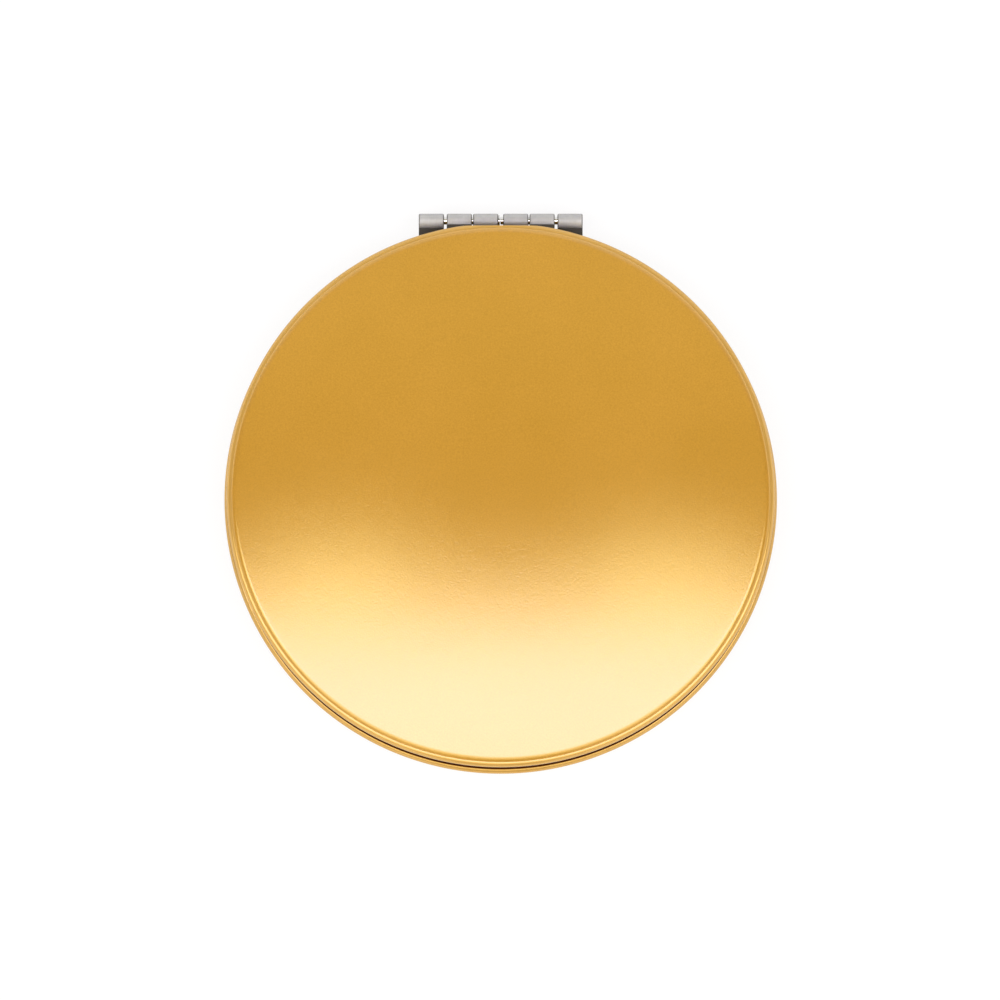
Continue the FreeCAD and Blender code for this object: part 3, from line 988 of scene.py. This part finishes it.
@dataclass
class Hinges:
    """Two hinges side by side, each with three knuckles on its own pin."""

    rim: Rim
    wardrobe: Wardrobe
    trees: "Trees"
    pin_radius: float = 0.5 * MM
    pin_clearance: float = 0.02 * MM
    curl_mouth: float = 75.0
    curl_steps: int = 64
    bend: float = 0.16 * MM
    bend_steps: int = 6
    knuckle_width: float = 3.185 * MM
    knuckle_round: float = 0.2 * MM
    inside_round: float = 0.05 * MM
    knuckles: Triple = (0.315 * MM, 3.65 * MM, 7.195 * MM)
    upper_plate_edge: float = 32.9716 * MM
    lower_plate_edge: float = 33.68 * MM
    rivet_hole: float = 0.53 * MM
    hole_half: float = 2.0 * MM
    pin_stub: float = 0.35 * MM
    pin_head: float = 0.7 * MM
    pin_head_thickness: float = 0.2 * MM
    pin_edge: float = 0.12 * MM
    pin_end_round: float = 0.06 * MM

    @property
    def reach(self) -> float:
        """Outer end of a hinge."""
        return self.knuckles[-1] + self.knuckle_width

    @property
    def plate_half(self) -> float:
        """Half the length of a leaf's plate."""
        return (self.reach - self.knuckles[0]) / 2

    def curl(self, x: float, plate_edge: float) -> list[Triple]:
        """Middle line of a knuckle's sheet, from the plate round the pin.

        Args:
            x: middle of the knuckle.
            plate_edge: where the plate ends.

        Returns:
            Points in order from the plate to the end of the curl.
        """
        rim = self.rim
        radius = self.pin_radius + self.pin_clearance + rim.leaf_sheet / 2
        height = rim.leaf_z + rim.leaf_sheet / 2
        first = 180 - math.degrees(math.asin(height / radius))
        last = 90 + self.curl_mouth - 360
        bent = first - math.degrees(self.bend / radius)
        round_pin = Outline().arc((rim.hinge_y, 0.0), radius, bent, last, self.curl_steps).points
        corner = (rim.hinge_y + radius * math.cos(math.radians(first)), height)
        ends = ((corner[0] - self.bend, height), corner, round_pin[0])
        eased = []
        for i in range(self.bend_steps):
            t = i / self.bend_steps
            weights = ((1 - t) ** 2, 2 * t * (1 - t), t ** 2)
            eased.append(tuple(sum(w * p[axis] for w, p in zip(weights, ends)) for axis in (0, 1)))
        start = ((rim.leaf_edge + plate_edge) / 2, height)
        return [(x, y, z) for y, z in [start, *eased, *round_pin]]

    def build_leaf(self, hand: Hand, side: Side) -> None:
        """Bends a leaf's knuckles out of its riveted plate.

        Args:
            hand: hinge of the pair.
            side: half that the leaf is riveted to.
        """
        rim = self.rim
        upper = side is Side.LID
        plate_edge = self.upper_plate_edge if upper else self.lower_plate_edge
        starts = [self.knuckles[1]] if upper else [self.knuckles[0], self.knuckles[2]]
        sign = hand.value if upper else -hand.value
        paths = [self.curl(sign * (start + self.knuckle_width / 2), plate_edge) for start in starts]
        middle = sign * (self.knuckles[0] + self.reach) / 2
        plate_low = (middle - self.plate_half, rim.leaf_edge, rim.leaf_z)
        plate_high = (middle + self.plate_half, plate_edge, rim.leaf_top)
        turn = 0.0 if upper else math.pi
        level = "upper" if upper else "lower"
        name = f"leaf_{level}_{hand.name.lower()}"
        mesh = self.trees.leaf.make(name, paths, {
            "Strip Width": self.knuckle_width,
            "Sheet": rim.leaf_sheet,
            "Outer Round": self.knuckle_round,
            "Inner Round": self.inside_round,
            **block_sizes("Plate", plate_low, plate_high),
            **drum_sizes("Hole", self.rivet_hole, -self.hole_half, self.hole_half),
            "First Hole": (sign * rim.rivet_first, rim.rivet_row, rim.leaf_z),
            "Hole Step": (sign * rim.rivet_spacing, 0.0, 0.0),
            "Turn": (0.0, turn, 0.0),
            "Place": (0.0, 0.0, rim.seam),
            "Material": self.wardrobe["hinge_steel"],
        })
        show(name, mesh, side.value, f"hinge_{level}_leaf_{hand.name.lower()}")

    def build_pin(self, hand: Hand) -> None:
        """Turns a pin: the left one has a peened head between the hinges, the right one a plain stub.

        Args:
            hand: hinge of the pair.
        """
        inner = self.knuckles[0]
        edge = self.pin_edge
        small = self.pin_end_round
        outline = Outline((0.0, self.reach))
        outline.arc((self.pin_radius - edge, self.reach - edge), edge, 90, 0, EDGE_STEPS)
        if hand is Hand.LEFT:
            radius, end = self.pin_head, inner - self.pin_head_thickness
            outline.to((self.pin_radius, inner))
            outline.arc((radius - small, inner - small), small, 90, 0, TINY_STEPS)
        else:
            radius, end = self.pin_radius, inner - self.pin_stub
        outline.arc((radius - small, end + small), small, 0, -90, TINY_STEPS).to((0.0, end))
        quarter = hand.value * math.pi / 2
        name = "pin_" + hand.name.lower()
        mesh = self.trees.turned.make(name, [outline.line()], {
            "Segments": ROD_FACES,
            "Turn": (0.0, quarter, 0.0),
            "Place": (0.0, self.rim.hinge_y, self.rim.seam),
            "Material": self.wardrobe["pin_steel"],
        })
        show(name, mesh, Side.BASE.value, "hinge_pin_" + hand.name.lower())


class Trees:
    """Geometry node trees, one for each way a piece is made."""

    RIVET_SIDES = ("Right", "Left")
    RIVET_INPUTS = {"Right Rivet": tuple, "Left Rivet": tuple, "Right Step": tuple, "Left Step": tuple}

    def __init__(self) -> None:
        """Builds every tree."""
        self.turned = self._turned()
        self.shell = self._shell()
        self.ring = self._ring()
        self.rivets = self._rivets()
        self.leaf = self._leaf()

    @staticmethod
    def _turned() -> Shaping:
        """Plain turned piece."""
        tree = Shaping("turned_piece", {"Segments": int})
        return tree.close(tree.lathe(tree.size("Segments")))

    @staticmethod
    def _shell() -> Shaping:
        """Turned shell with a notch and a flat; its dome and its neck have materials of their own, the neck's
        with painted shade towards the seam.

        Returns:
            The tree.
        """
        tree = Shaping("pressed_shell", {
            "Segments": int, **Shaping.block_inputs("Notch", "Flat"),
            "Crease Radius": float, "Dome Material": bpy.types.Material,
            "Groove Height": float, "Groove Material": bpy.types.Material,
        })
        notched = tree.cut(tree.lathe(tree.size("Segments")), tree.block("Notch"))
        tree.close(tree.cut(notched, tree.block("Flat")))
        position = tree.add("GeometryNodeInputPosition").outputs[0]
        radius = tree.vector("LENGTH", tree.vector("MULTIPLY", position, (1.0, 1.0, 0.0)))
        inside = tree.maths("LESS_THAN", radius, tree.size("Crease Radius"))
        polished = tree.result.inputs[0].links[0].from_socket
        dome = tree.add("GeometryNodeSetMaterial", {
            0: polished, "Selection": inside, "Material": tree.size("Dome Material"),
        })
        # Faces close to the seam get the groove material, which carries painted shade.
        off_seam = tree.vector("SUBTRACT", position, tree.size("Place"))
        height = tree.maths("ABSOLUTE", tree.axis(off_seam, 2))
        low = tree.maths("LESS_THAN", height, tree.size("Groove Height"))
        groove = tree.add("GeometryNodeSetMaterial", {
            0: dome.outputs[0], "Selection": low, "Material": tree.size("Groove Material"),
        })
        tree.feed(tree.result.inputs[0], groove.outputs[0])
        return tree

    @classmethod
    def _spots(cls, tree: Shaping) -> Socket:
        """Points of the rivets, two on each side."""
        rows = [tree.pair(tree.size(side + " Rivet"), tree.size(side + " Step")) for side in cls.RIVET_SIDES]
        return tree.add("GeometryNodeJoinGeometry", {0: rows}).outputs[0]

    @classmethod
    def _ring(cls) -> Shaping:
        """Moulded ring: turned, with a magnet cup, and cut for the leaves, magnet and rivets.

        Returns:
            The tree.
        """
        tree = Shaping("moulded_ring", {
            "Segments": int, **Shaping.drum_inputs("Cup", "Pocket", "Seat", "Hole"),
            **Shaping.block_inputs("Bay"), **cls.RIVET_INPUTS,
        })
        spots = cls._spots(tree)
        rivet_tools = [tree.copies(tree.drum(label), spots) for label in ("Seat", "Hole")]
        body = tree.joined([tree.lathe(tree.size("Segments")), tree.drum("Cup")])
        for tool in (tree.drum("Pocket"), tree.block("Bay"), *rivet_tools):
            body = tree.cut(body, tool)
        return tree.close(body)

    @classmethod
    def _rivets(cls) -> Shaping:
        """Turned rivet, copied to its places."""
        tree = Shaping("rivet_row", {"Segments": int, **cls.RIVET_INPUTS})
        return tree.close(tree.copies(tree.lathe(tree.size("Segments")), cls._spots(tree)))

    @staticmethod
    def _leaf() -> Shaping:
        """Hinge leaf: strips swept along their curls, fused with the plate, with rivet holes.

        Returns:
            The tree.
        """
        tree = Shaping("bent_leaf", {
            "Strip Width": float, "Sheet": float, "Outer Round": float, "Inner Round": float,
            **Shaping.block_inputs("Plate"), **Shaping.drum_inputs("Hole"),
            "First Hole": tuple, "Hole Step": tuple,
        })
        path = tree.add("GeometryNodeMeshToCurve", {0: tree.size("Drawn Line")}).outputs[0]
        sideways = {0: path, "Normal": (1.0, 0.0, 0.0)}
        path = tree.add("GeometryNodeSetCurveNormal", sideways, mode="FREE").outputs[0]
        sizes = {"Width": tree.size("Strip Width"), "Height": tree.size("Sheet")}
        strip = tree.add("GeometryNodeCurvePrimitiveQuadrilateral", sizes, mode="RECTANGLE").outputs[0]
        position = tree.add("GeometryNodeInputPosition").outputs[0]
        inward = tree.maths("GREATER_THAN", tree.axis(position, 1), 0.0)
        gap = tree.maths("SUBTRACT", tree.size("Inner Round"), tree.size("Outer Round"))
        rounding = tree.maths("ADD", tree.size("Outer Round"), tree.maths("MULTIPLY", gap, inward))
        strip = tree.add("GeometryNodeFilletCurve", {
            "Curve": strip, "Count": EDGE_STEPS, "Radius": rounding, "Limit Radius": True,
        }, mode="POLY").outputs[0]
        sweep = {"Curve": path, "Profile Curve": strip, "Fill Caps": True}
        swept = tree.add("GeometryNodeCurveToMesh", sweep).outputs[0]
        holes = tree.copies(tree.drum("Hole"), tree.pair(tree.size("First Hole"), tree.size("Hole Step")))
        return tree.close(tree.cut(tree.joined([swept, tree.block("Plate")]), holes))


@dataclass
class Panel:
    """Soft light panel, placed by the angles from which the object sees it, in degrees."""

    # Power that an area lamp needs for each unit of radiance and of area.
    POWER = 4.0

    name: str
    front: float
    side: float
    height: float
    width: float
    radiance: float
    colour: Triple = (1.0, 1.0, 1.0)
    even: float = 1.0
    edge: float = 1.0

    def hang(self, distance: float) -> None:
        """Puts the panel up at a distance, facing the object.

        Its rear part, a share of its height called even, has the full radiance. The rest fades to the
        share called edge at the front.

        Args:
            distance: how far its middle is from the object.
        """
        lamp = bpy.data.lights.new(self.name, "AREA")
        lamp.shape = "RECTANGLE"
        lamp.color = self.colour
        lamp.size = 2 * distance * math.tan(math.radians(self.width / 2))
        lamp.size_y = 2 * distance * math.tan(math.radians(self.height / 2))
        lamp.energy = self.POWER * self.radiance * lamp.size * lamp.size_y
        if self.even < 1.0:
            lamp.use_nodes = True
            graph = Graph(lamp.node_tree)
            place = graph.add("ShaderNodeNewGeometry").outputs["Parametric"]
            fade = graph.span(graph.axis(place, 1), 0.0, 1.0 - self.even, self.edge, 1.0)
            graph.feed(lamp.node_tree.nodes["Emission"].inputs["Strength"], fade)
        panel = bpy.data.objects.new(self.name, lamp)
        bpy.context.scene.collection.objects.link(panel)
        sideways = Matrix.Rotation(math.radians(self.side), 4, "Y")
        forward = Matrix.Rotation(math.radians(self.front), 4, "X")
        panel.matrix_world = sideways @ forward @ Matrix.Translation((0.0, 0.0, distance))


@dataclass
class Studio:
    """White floor, pale room, soft panels and the camera.

    Each room value is the brightness of one part of the room. Each pair named for a turn or a rise holds
    the two coordinates of a direction between which one part passes into the next.
    """

    rim: Rim
    tilt: float = 7.3
    distance: float = 5.0
    pixel: float = 0.1266 * MM
    frame_pixels: int = 1000
    sensor: float = 36.0
    aim: Point = (-0.089 * MM, -0.345 * MM)
    floor_reach: float = 6.0
    floor_white: float = 0.93
    floor_glow: float = 0.86
    panel_distance: float = 2.4
    room_low: float = 1.4
    room_front: float = 0.15
    room_flank: float = 0.5
    room_side: float = 0.12
    room_rear: float = 0.9
    room_top: float = 0.07
    room_back: float = 0.6
    ceiling_colour: Triple = (1.0, 0.9, 0.4)
    flank_turn: Point = (0.1, 0.35)
    side_turn: Point = (-0.2, -0.05)
    rear_turn: Point = (0.3, 0.7)
    back_turn: Point = (0.12, 0.3)
    wall_rise: Point = (0.25, 0.45)
    ceiling_rise: Point = (0.84, 0.94)

    def build_floor(self) -> None:
        """Lays a white floor that shows white to the camera and in metal, and keeps a soft shadow."""
        reach = self.floor_reach
        mesh = bpy.data.meshes.new("floor")
        corners = [(x * reach, y * reach, 0.0) for x, y in ((-1, -1), (1, -1), (1, 1), (-1, 1))]
        mesh.from_pydata(corners, [], [(0, 1, 2, 3)])
        floor = bpy.data.objects.new("floor", mesh)
        bpy.context.scene.collection.objects.link(floor)
        material = bpy.data.materials.new("floor_paper")
        graph = Graph.blank(material)
        paper = graph.add("ShaderNodeBsdfDiffuse", {"Color": (*(self.floor_white,) * 3, 1.0)})
        glow = graph.add("ShaderNodeEmission", {"Color": (1.0, 1.0, 1.0, 1.0), "Strength": 1.0})
        rays = graph.add("ShaderNodeLightPath").outputs
        seen = graph.maths("MAXIMUM", rays["Is Camera Ray"], rays["Is Glossy Ray"])
        seen = graph.maths("MAXIMUM", seen, rays["Is Transmission Ray"])
        share = graph.maths("MULTIPLY", seen, self.floor_glow)
        mixed = graph.add("ShaderNodeMixShader", {0: share, 1: paper.outputs[0], 2: glow.outputs[0]})
        output = graph.add("ShaderNodeOutputMaterial")
        graph.feed(output.inputs["Surface"], mixed.outputs[0])
        mesh.materials.append(material)

    def build_room(self) -> None:
        """Pale walls, brightest low down and behind, and a warm ceiling that is dark but for its back."""
        world = bpy.data.worlds.new("studio_room")
        bpy.context.scene.world = world
        graph = Graph.blank(world)
        direction = graph.add("ShaderNodeTexCoord").outputs["Generated"]
        x, y, z = graph.add("ShaderNodeSeparateXYZ", {0: direction}).outputs
        off_middle = graph.maths("ABSOLUTE", x)
        ahead = graph.span(off_middle, *self.flank_turn, self.room_front, self.room_flank)
        behind = graph.span(y, *self.rear_turn, self.room_side, self.room_rear)
        walls = graph.span(y, *self.side_turn, ahead, behind)
        low_ahead = graph.span(off_middle, *self.flank_turn, self.room_front, self.room_low)
        low = graph.span(y, *self.side_turn, low_ahead, self.room_low)
        walls = graph.span(z, *self.wall_rise, low, walls)
        ceiling = graph.span(y, *self.back_turn, self.room_top, self.room_back)
        level = graph.span(z, *self.ceiling_rise, walls, ceiling)
        overhead = graph.span(z, *self.ceiling_rise, 0.0, 1.0)
        colour = graph.blend(overhead, (1.0, 1.0, 1.0, 1.0), (*self.ceiling_colour, 1.0))
        room = graph.add("ShaderNodeBackground", {"Color": colour, "Strength": level})
        output = graph.add("ShaderNodeOutputWorld")
        graph.feed(output.inputs["Surface"], room.outputs[0])

    def build_panels(self) -> None:
        """Hangs a wide warm panel in front of overhead, a fin at each side behind it, and a cool one."""
        warm = (1.0, 0.92, 0.6)
        cool = (0.1, 0.18, 1.0)
        panels = (
            Panel("warm", 23.8, 0.0, height=51.6, width=84.0, radiance=3.4, colour=warm,
                  even=0.28, edge=0.12),
            Panel("fin_left", -3.0, -9.2, height=2.2, width=8.0, radiance=3.4, colour=warm),
            Panel("fin_right", -3.0, 9.6, height=2.2, width=8.0, radiance=3.4, colour=warm),
            Panel("cool", 15.0, 0.0, height=29.0, width=60.0, radiance=3.0, colour=cool,
                  even=0.2, edge=0.05),
        )
        for panel in panels:
            panel.hang(self.panel_distance)

    def build_camera(self) -> None:
        """Sets the camera in front and nearly overhead, with a long lens."""
        data = bpy.data.cameras.new("camera")
        data.sensor_width = self.sensor
        data.lens = self.sensor * self.distance / (self.pixel * self.frame_pixels)
        camera = bpy.data.objects.new("camera", data)
        tilt = math.radians(self.tilt)
        across, upward = self.aim
        camera.location = (
            across,
            upward * math.cos(tilt) - self.distance * math.sin(tilt),
            self.rim.seam + upward * math.sin(tilt) + self.distance * math.cos(tilt),
        )
        camera.rotation_euler = (tilt, 0.0, 0.0)
        bpy.context.scene.collection.objects.link(camera)
        bpy.context.scene.camera = camera
        bpy.context.scene.view_settings.view_transform = "Standard"


def main() -> None:
    """Builds the case, its hinges and the studio."""
    logging.basicConfig(level=logging.INFO, format="%(name)s: %(message)s")
    rim = Rim.from_frame()
    wardrobe = Wardrobe()
    trees = Trees()
    lid = CaseHalf(
        Side.LID, rim, wardrobe, trees, crown_radius=277 * MM, flat_radius=0.0, glass_sag=0.0,
        wall_top=2.92 * MM)
    base = CaseHalf(
        Side.BASE, rim, wardrobe, trees, crown_radius=105 * MM, flat_radius=13 * MM, glass_sag=0.4 * MM,
        wall_top=3.12 * MM)
    for half in (lid, base):
        half.build_shell()
        half.build_ring()
        half.build_glass()
        half.build_magnet()
        half.build_rivets()
        half.dress_hidden()
    hinges = Hinges(rim, wardrobe, trees)
    for hand in Hand:
        for side in Side:
            hinges.build_leaf(hand, side)
        hinges.build_pin(hand)
    studio = Studio(rim)
    studio.build_floor()
    studio.build_room()
    studio.build_panels()
    studio.build_camera()


if __name__ == "__main__":
    main()
